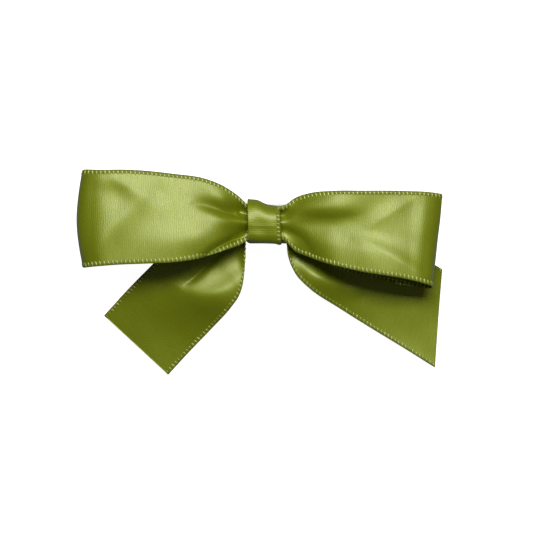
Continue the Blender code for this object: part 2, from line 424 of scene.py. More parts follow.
@dataclass
class MeshParts:
    """Points, faces, ribbon coordinates and slots, gathered into one mesh.

    Attributes:
        points: Points of each part, mm.
        faces: Quads of each part.
        coords: Ribbon coordinates of each part's points.
        slots: Material slot of each part's quads.
        count: Points gathered so far.
    """

    points: list[Array] = field(default_factory=list)
    faces: list[Array] = field(default_factory=list)
    coords: list[Array] = field(default_factory=list)
    slots: list[Array] = field(default_factory=list)
    count: int = 0

    def add(self, points: Array, faces: Array, coords: Array, slot: int = 0) -> None:
        """Add quads.

        Args:
            points: Points, mm.
            faces: Quads of indices into the points.
            coords: Ribbon coordinate of each point.
            slot: Material slot.
        """
        self.points.append(points)
        self.faces.append(faces + self.count)
        self.coords.append(coords)
        self.slots.append(np.full(len(faces), slot))
        self.count += len(points)

    def build(self, name: str, finishes: list[Finish]) -> bpy.types.Object:
        """Make the object.

        Args:
            name: Name of the object.
            finishes: Finish of each slot.

        Returns:
            The object, linked to the scene.
        """
        points, faces = np.vstack(self.points) * MM, np.vstack(self.faces)
        coords = np.vstack(self.coords)
        mesh = bpy.data.meshes.new(name)
        mesh.from_pydata(points.tolist(), [], faces.tolist())
        layer = mesh.uv_layers.new(name="ribbon")
        layer.data.foreach_set("uv", coords[faces.ravel()].astype(np.float32).ravel())
        mesh.polygons.foreach_set("material_index", np.concatenate(self.slots).astype(np.int32))
        mesh.polygons.foreach_set("use_smooth", np.ones(len(faces), bool))
        for finish in finishes:
            mesh.materials.append(finish.material())
        mesh.update()
        obj = bpy.data.objects.new(name, mesh)
        bpy.context.scene.collection.objects.link(obj)
        return obj


def grid_faces(rows: int, cols: int, flip: bool = False, closed: bool = False) -> Array:
    """Quads of a grid.

    Args:
        rows: Rows of points.
        cols: Points in a row.
        flip: Turn the faces over.
        closed: Join the last column to the first.

    Returns:
        Quads of indices.
    """
    i, j = np.meshgrid(np.arange(rows - 1), np.arange(cols if closed else cols - 1), indexing="ij")
    after = (j + 1) % cols
    quads = np.stack((i * cols + j, (i + 1) * cols + j, (i + 1) * cols + after, i * cols + after), -1)
    quads = quads.reshape(-1, 4)
    return quads[:, ::-1] if flip else quads


@dataclass
class RibbonSheet:
    """A length of ribbon laid on a grid, with its thickness and beaded selvages.

    Attributes:
        grid: Points, rows along the ribbon, mm.
        coords: Ribbon coordinate of each point, in ribbon widths.
        thick: Thickness, mm.
        bead_pitch: Distance from bead to bead, mm.
        edges: Grid columns that carry a selvage.
        bead_size: Half sizes of a bead along, across and out of the ribbon, mm.
        bead_inset: Distance of a bead's middle inside the edge, in its half size across.
        bead_tilt: Turn of a bead in the ribbon's plane, radians.
        bead_spread: Spread of the beads' sizes, as a share, and of their tilts, radians.
        cord_inset: Distance of the cord under the beads inside the edge, mm.
        cord_size: Half width and half height of that cord, mm.
    """

    grid: Array
    coords: Array
    thick: float = 0.24
    bead_pitch: float = 1.1
    edges: tuple[int, ...] = (0, -1)
    bead_size: tuple[float, float, float] = (0.31, 0.72, 0.26)
    bead_inset: float = 0.86
    bead_tilt: float = 0.25
    bead_spread: tuple[float, float] = (0.07, 0.08)
    cord_inset: float = 0.48
    cord_size: tuple[float, float] = (0.62, 0.18)

    def cloth(self, parts: MeshParts) -> None:
        """Add the two faces of the cloth and the rim between them.

        Args:
            parts: Mesh that takes them.
        """
        rows, cols = self.grid.shape[:2]
        normal = grid_normals(self.grid)
        flat = self.coords.reshape(-1, 2)
        top = (self.grid + normal * self.thick / 2).reshape(-1, 3)
        under = (self.grid - normal * self.thick / 2).reshape(-1, 3)
        around = np.concatenate((np.arange(cols), np.arange(1, rows) * cols + cols - 1,
                                 (rows - 1) * cols + np.arange(cols - 2, -1, -1),
                                 np.arange(rows - 2, 0, -1) * cols))
        n = rows * cols
        after = np.roll(around, -1)
        rim = np.stack((around, after, after + n, around + n), -1)
        faces = np.vstack((grid_faces(rows, cols), grid_faces(rows, cols, True) + n, rim[:, ::-1]))
        parts.add(np.vstack((top, under)), faces, np.vstack((flat, flat)))

    def selvage(self, parts: MeshParts, column: int, seed: int) -> None:
        """Add the beads of one selvage, coloured lighter than the satin as a painted highlight.

        Args:
            parts: Mesh that takes them.
            column: Grid column of the edge, 0 or -1.
            seed: Seed of their small differences.
        """
        inner = 1 if column == 0 else -2
        edge, within = self.grid[:, column], self.grid[:, inner]
        out = unit(edge - within)
        normal = grid_normals(self.grid)[:, column]
        run = distance_along(edge)
        count = max(2, int(run[-1] / self.bead_pitch))
        at = (np.arange(count) + 0.5) * run[-1] / count
        rng = np.random.default_rng(seed)

        def read(values: Array, spots: Array) -> Array:
            """Read values at spots along the edge."""
            return np.stack([np.interp(spots, run, values[:, k]) for k in range(values.shape[1])], -1)

        centre, across, up = read(edge, at), unit(read(out, at)), unit(read(normal, at))
        along = unit(np.cross(across, up))
        sizes = np.array(self.bead_size) * (1 + self.bead_spread[0] * rng.standard_normal((count, 1)))
        tilt = self.bead_tilt + self.bead_spread[1] * rng.standard_normal(count)
        turn_a = np.cos(tilt)[:, None] * along + np.sin(tilt)[:, None] * across
        turn_b = np.cos(tilt)[:, None] * across - np.sin(tilt)[:, None] * along
        rings, sides = 5, 8
        lat = np.linspace(-math.pi / 2, math.pi / 2, rings + 1)
        lon = np.arange(sides) * 2 * math.pi / sides
        ball = np.stack((np.outer(np.cos(lat), np.cos(lon)), np.outer(np.sin(lat), np.ones(sides)),
                         np.outer(np.cos(lat), np.sin(lon))), -1).reshape(-1, 3)
        middle = centre - across * (self.bead_size[1] * self.bead_inset)
        where = (middle[:, None, :] + ball[None, :, 0:1] * sizes[:, None, 0:1] * turn_a[:, None, :]
                 + ball[None, :, 1:2] * sizes[:, None, 1:2] * turn_b[:, None, :]
                 + ball[None, :, 2:3] * sizes[:, None, 2:3] * up[:, None, :])
        one = grid_faces(rings + 1, sides, closed=True)
        per = (rings + 1) * sides
        faces = (one[None] + (np.arange(count) * per)[:, None, None]).reshape(-1, 4)
        bead_uv = 0.02
        uv = np.stack((np.repeat(at / RIBBON_WIDTH, per) + np.tile(ball[:, 0], count) * bead_uv,
                       np.tile(ball[:, 1], count) * bead_uv), -1)
        parts.add(where.reshape(-1, 3), faces, uv, 1)
        self.cord_under(parts, edge - out * self.cord_inset, out, normal, run)

    def cord_under(self, parts: MeshParts, line: Array, out: Array, normal: Array, run: Array) -> None:
        """Add the thin cord that the beads sit on, coloured darker than the satin as painted shade along the
        edge and between the beads.

        Args:
            parts: Mesh that takes it.
            line: Points of the cord.
            out: Directions out of the edge.
            normal: Normals of the ribbon.
            run: Distance along the edge.
        """
        sides, (wide, high) = 8, self.cord_size
        lon = np.arange(sides) * 2 * math.pi / sides
        ring = (line[:, None, :] + np.cos(lon)[None, :, None] * wide * out[:, None, :]
                + np.sin(lon)[None, :, None] * high * normal[:, None, :])
        uv = np.stack((np.repeat(run / RIBBON_WIDTH, sides), np.tile(lon * 0.01, len(line))), -1)
        parts.add(ring.reshape(-1, 3), grid_faces(len(line), sides, closed=True), uv, 2)

    def build(self, name: str, seed: int) -> bpy.types.Object:
        """Make the ribbon as one object.

        Args:
            name: Name of the object.
            seed: Seed of the selvages.

        Returns:
            The object.
        """
        parts = MeshParts()
        self.cloth(parts)
        for k, column in enumerate(self.edges):
            self.selvage(parts, column, seed + k)
        # Slot 1 holds the beads with their painted highlight, slot 2 the cord with its painted shade.
        return parts.build(name, [SATIN, SELVAGE_PAINTED_HIGHLIGHT, RIM_PAINTED_SHADE])


@dataclass(frozen=True)
class Crease:
    """Ridge or valley along a line on the ribbon.

    Attributes:
        path: Points of outward x, y and height over the ribbon, mm. A valley's height is negative.
        above: Reach of its flank on the +Y side, mm.
        below: Reach of its other flank, mm.
        edge: Roundness of its top. A small one is a sharp fold.
    """

    path: tuple[tuple[float, float, float], ...]
    above: float
    below: float
    edge: float = 0.3

    def lift(self, x: Array, y: Array) -> Array:
        """Height that the crease adds at each place.

        Args:
            x: Outward places, mm.
            y: Places up the bow, mm.

        Returns:
            Heights, mm.
        """
        nodes = np.array(self.path, float)
        line = smooth_rows(nodes, 8 * len(nodes), distance_along(nodes[:, :2]))
        gaps, sides, heights = [], [], []
        for a, b in zip(line, line[1:]):
            run = b[:2] - a[:2]
            t = np.clip(((x - a[0]) * run[0] + (y - a[1]) * run[1]) / (run @ run), 0, 1)
            dx, dy = x - a[0] - t * run[0], y - a[1] - t * run[1]
            gaps.append(np.hypot(dx, dy))
            sides.append((run[0] * dy - run[1] * dx) / (np.hypot(*run) * (gaps[-1] + 0.04)))
            heights.append(a[2] + t * (b[2] - a[2]))
        # Every stretch of the line has a share in each place, the nearest by far the most, so no kink
        # shows where the nearest one changes.
        gap = np.array(gaps)
        least = gap.min(axis=0)
        share = np.exp((least - gap) / (0.08 + 0.25 * least))
        share /= share.sum(axis=0)
        near, side, height = ((share * np.array(v)).sum(axis=0) for v in (gaps, sides, heights))
        reach = self.below + (self.above - self.below) * (0.5 + 0.5 * side)
        far = near / reach
        return height * np.exp(-(np.sqrt(far**2 + self.edge**2) - self.edge) * (1 + 0.6 * far))


def waver(rows: int, cols: int, seed: int, size: float) -> Array:
    """Slow uneven rise and fall, as handled ribbon has.

    Args:
        rows: Rows of points.
        cols: Points in a row.
        seed: Seed of the waves.
        size: Height, mm.

    Returns:
        Heights, rows by columns.
    """
    rng = np.random.default_rng(seed)
    i, j = np.meshgrid(np.linspace(0, 1, rows), np.linspace(0, 1, cols), indexing="ij")
    total = np.zeros((rows, cols))
    for _ in range(7):
        a, b, phase = rng.uniform(2, 9), rng.uniform(-2.2, 2.2), rng.uniform(0, 6.28)
        total += np.sin(2 * math.pi * (a * i + b * j) + phase) / a
    return size * total


# ---------------------------------------------------------------- ribbon pieces


def ribbon_coords(grid: Array, width: float) -> Array:
    """Ribbon coordinates of a grid.

    Args:
        grid: Points, rows along the ribbon.
        width: Width of the ribbon.

    Returns:
        Widths along the ribbon and shares across it, for each point.
    """
    step = np.linalg.norm(np.diff(grid, axis=0), axis=2).mean(axis=1)
    run = np.concatenate(([0.0], np.cumsum(step))) / width
    share = np.linspace(0, 1, grid.shape[1])
    u, v = np.meshgrid(run, share, indexing="ij")
    return np.stack((u, v), -1)


@dataclass
class Span:
    """Free span of the main ribbon, on one side of the knot.

    Attributes:
        side: Side of the knot.
        ribs: Rows of places and heights that shape it, from the knot outwards.
        creases: Creases pressed into it.
        length: Length of ribbon in it, mm. Not used.
        seed: Seed of its small differences.
        width: Width of the ribbon, mm.
    """

    side: Side
    ribs: tuple[tuple[float, ...], ...]
    creases: tuple[Crease, ...]
    length: float
    seed: int
    width: float = RIBBON_WIDTH

    @property
    def node(self) -> str:
        """Name of the CAD node and body, such as left_loop."""
        return f"{self.side.name}_{type(self).__name__}".lower()

    def hang(self, grid: Array, root: tuple[float, ...], free: tuple[float, ...], hold: Hold,
             **selvage: tuple[float, ...]) -> bpy.types.Object:
        """Make the ribbon and hide the CAD node it stands for.

        Args:
            grid: Points, with x outwards, mm.
            root: Outward place up to which it stays with the knot, metres. Not used.
            free: Outward place from which it goes with its own body, metres. Not used.
            hold: How the ribbon is held. Not used.
            selvage: Sizes of its selvages.

        Returns:
            The ribbon.
        """
        sign = self.side.value
        grid[..., 0] *= sign
        if self.side is Side.RIGHT:
            grid = grid[:, ::-1]  # Keeps the front of the ribbon up on both sides.
        sheet = RibbonSheet(grid, ribbon_coords(grid, self.width), **selvage)
        obj = sheet.build(self.node + "_ribbon", self.seed)
        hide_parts(self.node)
        self.node
        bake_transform(obj)
        return obj


@dataclass
class Loop(Span):
    """Ribbon loop, out of the wrap's front, round its fold and into the wrap's back.

    A row of its ribs has outward x, z, upper y, lower y, pleat and five rises from the upper edge down.

    Attributes:
        lean: Outward lean of the fold over its height.
        bulge: Outward bulge of the fold at its middle, mm.
        across: Spans across the drawn ribbon.
        rows: Rows along the drawn ribbon.
        refined: Spans made of each drawn span before the creases are pressed in.
    """

    lean: float = 0.0
    bulge: float = 0.0
    across: int = 36
    rows: int = 150
    refined: int = 2

    def drawn(self) -> Array:
        """Draw the loop from its ribs.

        Returns:
            The grid, in outward coordinates.
        """
        table = np.array(self.ribs, float)
        table = smooth_rows(table, self.rows, distance_along(table[:, :2]))
        x, z, upper, lower = table[:, 0], table[:, 1], table[:, 2], table[:, 3]
        flow = unit(np.stack((np.gradient(x), np.gradient(z)), -1))
        normal = np.stack((-flow[:, 1], np.zeros(len(x)), flow[:, 0]), -1)
        f = np.linspace(0, 1, self.across + 1)
        pleats = table[:, 4:5] * pleat_wave(f)
        rise = smooth_rows(table[:, 5:10].T, self.across + 1).T
        y = upper[:, None] + (lower - upper)[:, None] * f[None, :]
        outer = (x / x.max())[:, None]
        lean = self.lean * outer**2 * (y - (0.5 * (upper + lower))[:, None])
        lean = lean + self.bulge * outer**6 * (1 - (2 * f[None, :] - 1) ** 2)
        grid = np.stack((x[:, None] + lean, y, z[:, None] + rise), -1)
        return grid + normal[:, None, :] * pleats[..., None]

    def creased(self) -> Array:
        """Press the creases into the front of the drawn loop.

        Returns:
            The fine grid, in outward coordinates.
        """
        grid = refine(self.drawn(), self.refined)
        normal = grid_normals(grid)
        if normal[len(grid) // 4, :, 2].mean() < 0:
            normal = -normal
        lift = sum(crease.lift(grid[..., 0], grid[..., 1]) for crease in self.creases)
        # The creases fade where the front turns into the fold, and the back has none.
        front = np.clip((normal[..., 2] - 0.3) * 2.2, 0, 1)
        front[np.argmax(grid[:, :, 0].mean(axis=1)):] = 0
        # The waver starts clear of the wrap.
        calm = np.clip((grid[..., 0] - 5.0) / 4.0, 0, 1)
        lift = lift * front + waver(*lift.shape, self.seed, 0.05) * calm
        return grid + normal * lift[..., None]

    def build(self) -> bpy.types.Object:
        """Make the loop."""
        return self.hang(self.creased(), (0.0040, 0, 0.0084), (0.0078, 0, 0.0084), Hold.FOLDED)


@dataclass
class Tail(Span):
    """Ribbon tail, out of the wrap behind the loops to its cut end.

    A row of its ribs has outward upper x, upper y, outward lower x, lower y, upper z, lower z, pleat and
    belly.

    Attributes:
        across: Spans across the ribbon.
        rows: Rows along the ribbon.
    """

    across: int = 72
    rows: int = 170

    def drawn(self) -> Array:
        """Draw the tail from its ribs and press its creases in.

        Returns:
            The grid, in outward coordinates.
        """
        table = np.array(self.ribs, float)
        middle = 0.5 * (table[:, :2] + table[:, 2:4])
        table = smooth_rows(table, self.rows, distance_along(middle))
        f = np.linspace(0, 1, self.across + 1)
        upper = np.stack((table[:, 0], table[:, 1], table[:, 4]), -1)[:, None, :]
        lower = np.stack((table[:, 2], table[:, 3], table[:, 5]), -1)[:, None, :]
        grid = upper + (lower - upper) * f[None, :, None]
        lift = table[:, 6:7] * pleat_wave(f) + table[:, 7:8] * np.sin(math.pi * f) ** 0.8
        lift = lift + sum(crease.lift(grid[..., 0], grid[..., 1]) for crease in self.creases)
        lift = lift + waver(self.rows, len(f), self.seed, 0.05) * np.linspace(0, 1, self.rows)[:, None]
        grid[..., 2] += lift
        return grid

    def build(self) -> bpy.types.Object:
        """Make the tail."""
        return self.hang(self.drawn(), (0.0040, 0, 0.0059), (0.0085, -0.002, 0.0059), Hold.GATHERED,
                         bead_size=(0.27, 0.62, 0.22))


@dataclass
class Waist:
    """Three gathered strands of the ribbon inside the wrap.

    Attributes:
        half: Half length of a strand, mm.
        half_height: Half height of a strand, mm.
        pleat: Half depth of its pleats, mm.
        curl: Fall of its two edges, mm.
        size: Rows and columns of its grid.
        seeds: First seeds of the strands' waver and of their selvages.
        layers: CAD node and height of each strand, mm.
    """

    half: float = 2.7
    half_height: float = 3.7
    pleat: float = 0.7
    curl: float = 0.8
    size: tuple[int, int] = (24, 61)
    seeds: tuple[int, int] = (40, 60)
    layers: tuple[tuple[str, float], ...] = (
        ("waist_front", 9.0), ("waist_middle", 7.45), ("waist_back", 5.9))

    def build(self) -> list[bpy.types.Object]:
        """Make the strands.

        Returns:
            The strands, front first.
        """
        made = []
        rows, cols = self.size
        f = np.linspace(0, 1, cols)
        lift = self.pleat * pleat_wave(f) - self.curl * (2 * f - 1) ** 4
        gx, gf = np.meshgrid(np.linspace(-self.half, self.half, rows), f, indexing="ij")
        for k, (node, z) in enumerate(self.layers):
            wobble = waver(rows, cols, self.seeds[0] + k, 0.05)
            grid = np.stack((gx, self.half_height * (1 - 2 * gf), z + lift[None, :] + wobble), -1)
            sheet = RibbonSheet(grid[:, ::-1], ribbon_coords(grid, RIBBON_WIDTH))
            obj = sheet.build(node + "_strand", self.seeds[1] + 4 * k)
            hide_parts(node)
            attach(obj, "knot")
            made.append(obj)
        return made


@dataclass
class CentreBand:
    """Narrow satin band round the waist, its ends lapped at the back.

    Attributes:
        section: Points of the band's path round the waist, y and z, mm.
        width: Width of the band, mm.
        skew: Sideways drift of the path over its height, and its drop from left to right.
        size: Rows and columns of its grid.
    """

    section: tuple[tuple[float, float], ...] = (
        (3.1, 3.45), (1.5, 3.4), (-1.5, 3.4), (-3.8, 3.55), (-4.9, 4.5), (-5.3, 6.4), (-5.4, 8.4),
        (-5.3, 9.9), (-4.8, 10.85), (-3.9, 11.3), (-2.2, 11.5), (0.0, 11.6), (1.4, 11.5), (2.4, 11.3),
        (3.2, 11.0), (4.0, 10.5), (4.8, 9.6), (5.3, 8.3), (5.5, 6.2), (5.2, 4.2), (4.4, 2.9), (3.0, 2.42),
        (0.8, 2.4), (-1.4, 2.4), (-3.1, 2.42))
    width: float = 8.5
    skew: tuple[float, float] = (-0.04, -0.24)
    size: tuple[int, int] = (190, 41)

    def build(self) -> bpy.types.Object:
        """Make the band.

        Returns:
            The band.
        """
        rows, cols = self.size
        table = np.array(self.section, float)
        path = smooth_rows(table, rows, distance_along(table))
        flow = unit(np.gradient(path, axis=0))
        outward = np.stack((flow[:, 1], -flow[:, 0]), -1)
        f = np.linspace(-1, 1, cols)
        front = np.clip((path[:, 1] - 6.0) / 4.0, 0, 1)
        # The band is crowned across, uneven, and dented by one soft fold along its front.
        crown = 0.16 * (1 - f**2)[None, :] + 0.10 * waver(rows, cols, 91, 1.0)
        dent = 0.05 * np.exp(-((path[:, 0] + 0.9) / 0.4) ** 2)[:, None] * front[:, None]
        lift = crown - dent * (0.7 + 0.3 * np.cos(2.4 * f))[None, :]
        x = self.width / 2 * f[None, :] * np.ones((rows, 1)) - 0.5
        y = path[:, 0:1] + outward[:, 0:1] * lift
        z = path[:, 1:2] + outward[:, 1:2] * lift
        x = x + self.skew[0] * y * front[:, None]
        # Its top edge swells over the gathered ribbon, and both edges drop to the right.
        bulge = 0.5 * np.exp(-((x + 2.2) / 1.7) ** 2) - 0.35
        y = y + bulge * np.clip(y / 5, 0, 1)
        y = y + np.where(y > 0, self.skew[1], self.skew[1] * 0.3) * x * np.clip(np.abs(y) / 5, 0, 1)
        grid = np.stack((x, y, z), -1)
        sheet = RibbonSheet(grid, ribbon_coords(grid, RIBBON_WIDTH), bead_pitch=1.05, edges=(-1,),
                            bead_size=(0.28, 0.6, 0.22))
        obj = sheet.build("centre_band", 81)
        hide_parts("centre_wrap")
        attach(obj, "knot")
        return obj


@dataclass
class BackFixing:
    """Foam pad, release liner and glue behind the knot."""

    def slab(self, name: str, node: str, finish: Finish, corner: float, crown: float) -> bpy.types.Object:
        """Make a rounded slab that fills a CAD node's box.

        Args:
            name: Name of the piece.
            node: CAD node it stands for.
            finish: Its finish.
            corner: Corner radius, mm.
            crown: Softening of its rim, mm.

        Returns:
            The slab.
        """
        count, steep = 96, 40
        low, high = (np.array(c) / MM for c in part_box(node))
        middle, half = (low + high) / 2, (high - low) / 2
        angles = np.linspace(0, 2 * math.pi, count, endpoint=False)
        box = np.clip(np.stack((np.cos(angles) * steep, np.sin(angles) * steep), -1), -1, 1)
        core = box * (half[:2] - corner)
        outline = core + corner * np.stack((np.cos(angles), np.sin(angles)), -1)
        levels = [(0.02, -1), (0.6, -1), (1 - crown * 0.5, -1), (1, -0.6), (1.0, 0.0), (1, 0.6),
                  (1 - crown * 0.5, 1), (0.6, 1), (0.02, 1)]
        rings = [np.column_stack((outline * share, np.full(count, z * half[2]))) for share, z in levels]
        grid = np.array(rings) + middle
        parts = MeshParts()
        flat = grid.reshape(-1, 3)
        parts.add(flat, grid_faces(len(levels), count, flip=True, closed=True), flat[:, :2] / RIBBON_WIDTH)
        obj = parts.build(name, [finish])
        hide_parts(node)
        return obj

    def build(self) -> list[bpy.types.Object]:
        """Make the pad, liner and glue.

        Returns:
            The three pieces.
        """
        pad = self.slab("foam_pad", "adhesive_pad", FOAM, 1.5, 0.04)
        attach(pad, "knot")
        liner = self.slab("peel_liner", "release_liner", PAPER, 1.5, 0.01)
        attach(liner, "liner")
        glue = self.slab("glue_dab", "wrap_glue", GLUE, 1.6, 0.2)
        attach(glue, "knot")
        return [pad, liner, glue]


@dataclass
class BindingThread:
    """Turns of two-ply thread round the gathered waist.

    Attributes:
        turns: Turns round the waist.
        pitch: Distance from turn to turn, mm.
        half_y: Half height of a turn, mm.
        z_range: Lowest and highest places of a turn, mm.
        ply: Radius of a ply, mm.
        twist: Length of one twist of the plies, mm.
        square: Squareness of a turn. A circle has 1.
        steps: Points along the thread.
        sides: Points round a ply.
    """

    turns: int = 4
    pitch: float = 0.95
    half_y: float = 4.35
    z_range: tuple[float, float] = (4.9, 10.1)
    ply: float = 0.13
    twist: float = 1.3
    square: float = 0.6
    steps: int = 900
    sides: int = 6

    def build(self) -> bpy.types.Object:
        """Make the thread.

        Returns:
            The thread.
        """
        turn = np.linspace(0, 2 * math.pi * self.turns, self.steps)
        mid, half = sum(self.z_range) / 2, (self.z_range[1] - self.z_range[0]) / 2
        round_y = np.sign(np.cos(turn)) * np.abs(np.cos(turn)) ** self.square
        round_z = np.sign(np.sin(turn)) * np.abs(np.sin(turn)) ** self.square
        x = self.pitch * (turn / (2 * math.pi) - self.turns / 2)
        line = np.stack((x, self.half_y * round_y, mid + half * round_z), -1)
        run = distance_along(line)
        even = np.linspace(0, run[-1], self.steps)
        line = np.stack([np.interp(even, run, line[:, k]) for k in range(3)], -1)
        out = unit((line - np.array((0.0, 0.0, mid))) * np.array((0.0, 1.0, 1.0)))
        side = unit(np.cross(np.gradient(line, axis=0), out))
        parts = MeshParts()
        lon = np.arange(self.sides) * 2 * math.pi / self.sides
        for phase in (0.0, math.pi):
            wind = 2 * math.pi * even / self.twist + phase
            core = line + self.ply * (np.cos(wind)[:, None] * out + np.sin(wind)[:, None] * side)
            ring = (core[:, None, :] + self.ply * np.cos(lon)[None, :, None] * out[:, None, :]
                    + self.ply * np.sin(lon)[None, :, None] * side[:, None, :])
            uv = np.stack((np.repeat(even / RIBBON_WIDTH, self.sides), np.tile(lon * 0.01, self.steps)), -1)
            parts.add(ring.reshape(-1, 3), grid_faces(self.steps, self.sides, closed=True), uv)
        obj = parts.build("binding_coil", [THREAD])
        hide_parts("binding_thread")
        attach(obj, "knot")
        return obj


# ---------------------------------------------------------------- the bow's own shapes

LEFT_RIBS = (
    (2.9, 9.0, 4.1, -4.1, 0.7, 0.0, 0.0, 0.0, 0.0, 0.0),
    (5.1, 9.1, 4.9, -4.7, 0.7, 0.0, 0.0, 0.0, 0.0, 0.0),
    (7.6, 10.1, 7.1, -6.0, 0.4, -0.6, 0.1, 0.3, 0.2, 0.3),
    (11.0, 11.8, 9.4, -7.3, 0.1, -1.3, 0.0, 0.3, 0.5, 0.8),
    (16.0, 13.3, 11.4, -9.0, 0.0, -1.9, -1.0, -0.1, 0.8, 0.8),
    (24.0, 14.2, 12.6, -10.4, 0.0, -2.3, -1.15, 0.0, 1.1, 1.5),
    (31.0, 14.2, 13.3, -10.7, 0.0, -2.0, -1.0, 0.0, 1.1, 1.8),
    (38.0, 13.7, 13.6, -11.0, 0.0, -1.5, -0.85, 0.0, 1.1, 2.0),
    (44.0, 13.2, 13.6, -11.5, 0.0, -0.6, -0.3, 0.0, 0.9, 1.7),
    (47.0, 12.0, 13.7, -11.7, 0.0, -0.3, -0.1, 0.0, 0.4, 0.8),
    (48.3, 9.6, 13.6, -11.7, 0.0, 0.0, 0.0, 0.0, 0.0, 0.0),
    (47.3, 7.6, 13.7, -11.6, 0.0, 0.0, 0.0, 0.0, 0.0, 0.0),
    (42.0, 6.8, 13.0, -10.8, 0.0, 0.0, 0.0, 0.0, 0.0, 0.0),
    (33.0, 6.6, 12.2, -10.3, 0.1, 0.0, 0.0, 0.0, 0.0, 0.0),
    (22.0, 6.7, 10.8, -9.3, 0.3, 0.0, 0.0, 0.0, 0.0, 0.0),
    (14.0, 7.1, 8.6, -7.6, 0.6, 0.0, 0.0, 0.0, 0.0, 0.0),
    (9.0, 7.5, 6.4, -5.8, 0.7, 0.0, 0.0, 0.0, 0.0, 0.0),
    (5.1, 7.5, 4.4, -4.5, 0.7, 0.0, 0.0, 0.0, 0.0, 0.0),
    (2.9, 7.5, 4.1, -4.1, 0.7, 0.0, 0.0, 0.0, 0.0, 0.0),
)
LEFT_CREASES = (
    Crease(((4.0, 2.6, -0.3), (7.4, 2.6, -1.2), (10.3, 3.0, -1.4), (13.0, 3.9, -1.1), (15.6, 4.6, -0.6),
            (20.0, 5.2, 0.0)), 2.2, 1.7, 0.45),
    Crease(((4.0, -3.2, -0.4), (7.4, -3.9, -1.4), (10.3, -5.3, -1.6), (13.2, -7.1, -1.5), (16.1, -9.3, -1.0),
            (18.8, -10.9, 0.0)), 1.3, 0.9, 0.2),
    Crease(((47.4, -11.6, 0.9), (45.4, -8.2, 1.3), (42.2, -3.2, 1.5), (39.2, 0.2, 1.5), (36.4, 3.0, 1.2),
            (33.5, 5.6, 0.8), (28.0, 8.0, 0.0)), 6.0, 30.0, 0.3),
    Crease(((42.5, 12.4, 0.2), (39.5, 11.4, 0.6), (36.4, 10.0, 0.65), (33.4, 8.0, 0.45), (28.0, 6.6, 0.0)),
           3.2, 8.0, 0.6),
)
RIGHT_RIBS = (
    (2.9, 9.0, 4.1, -4.1, 0.7, 0.0, 0.0, 0.0, 0.3, -0.4),
    (5.1, 9.1, 4.6, -4.8, 0.5, 0.0, 0.0, 0.0, 0.5, -0.6),
    (7.6, 9.9, 6.4, -7.2, 0.15, -0.9, 0.3, 0.1, -0.1, -1.1),
    (11.5, 11.2, 7.7, -9.0, 0.0, -0.8, 0.5, 0.0, 0.0, -0.7),
    (17.5, 12.8, 8.2, -11.0, 0.0, -0.5, 0.4, 0.0, 0.5, 0.7),
    (25.0, 13.4, 8.2, -12.8, 0.0, -0.3, 0.0, 0.1, 1.1, 1.5),
    (32.0, 13.4, 8.2, -14.0, 0.0, -0.4, -0.4, 0.1, 1.1, 1.8),
    (37.4, 13.1, 8.1, -14.9, 0.0, -1.2, -0.8, 0.0, 0.9, 1.6),
    (41.3, 12.7, 7.9, -15.8, 0.0, -1.2, -0.7, 0.0, 0.8, 1.5),
    (44.0, 11.3, 7.6, -16.6, 0.0, -0.9, -0.5, 0.0, 0.9, 1.6),
    (45.1, 9.1, 7.4, -17.1, 0.0, -0.2, 0.0, 0.0, 0.6, 1.4),
    (44.2, 7.6, 7.3, -17.2, 0.0, 0.0, 0.0, 0.0, 0.9, 3.0),
    (39.0, 6.8, 7.1, -16.6, 0.0, 0.0, 0.0, 0.0, 1.5, 5.4),
    (31.5, 6.6, 7.2, -15.2, 0.1, 0.0, 0.0, 0.0, 1.4, 5.2),
    (22.0, 6.7, 7.2, -12.9, 0.3, 0.0, 0.0, 0.0, 0.9, 3.0),
    (14.0, 7.0, 6.6, -9.7, 0.6, 0.0, 0.0, 0.0, 0.0, 0.3),
    (9.0, 7.5, 5.6, -7.0, 0.7, 0.0, 0.0, 0.0, 0.0, 0.0),
    (5.1, 7.5, 4.3, -4.6, 0.7, 0.0, 0.0, 0.0, 0.0, 0.0),
    (2.9, 7.5, 4.1, -4.1, 0.7, 0.0, 0.0, 0.0, 0.0, 0.0),
)
RIGHT_CREASES = (
    Crease(((6.0, 1.9, 0.0), (9.0, 1.5, -0.3), (12.0, 1.0, -0.5), (15.0, 0.7, -0.7), (18.0, 0.7, -0.7),
            (21.0, 1.0, -0.6), (24.0, 1.6, -0.3), (27.0, 2.5, -0.1), (29.5, 3.2, 0.0)), 2.6, 4.0, 0.4),
    Crease(((4.0, -1.2, -0.2), (6.6, -2.7, -0.5), (9.9, -5.0, -0.5), (11.6, -8.0, -0.3), (12.6, -10.4, 0.0)),
           1.8, 3.0, 0.3),
    Crease(((20.0, -3.6, 0.0), (25.0, -3.1, 0.3), (29.0, -0.8, 0.7), (33.5, 2.2, 0.8), (39.4, 5.9, 0.5)),
           2.8, 30.0, 0.4),
    Crease(((22.0, -4.4, 0.0), (25.6, -5.4, 0.3), (29.8, -8.0, 0.6), (34.8, -10.9, 0.8), (40.4, -14.4, 0.7)),
           2.6, 20.0, 0.4),
)
LEFT_TAIL_RIBS = (
    (2.9, 4.0, 2.9, -4.0, 5.9, 5.9, 0.7, 0.0),
    (5.4, 4.0, 5.3, -4.6, 5.6, 5.7, 0.6, 0.0),
    (8.6, 3.6, 5.5, -8.2, 5.5, 5.8, 0.3, 0.0),
    (13.0, 1.8, 5.8, -13.2, 4.9, 5.0, 0.1, 0.0),
    (19.0, -1.5, 6.8, -18.2, 4.8, 5.0, 0.0, 0.0),
    (25.6, -6.7, 9.6, -22.6, 5.2, 4.6, 0.0, 0.0),
    (31.6, -12.4, 14.9, -28.3, 4.1, 2.3, 0.0, 0.0),
    (37.7, -18.5, 20.7, -34.3, 2.3, 0.8, 0.0, 0.0),
    (43.6, -24.8, 26.5, -40.6, 0.5, 0.3, 0.0, 0.0),
)
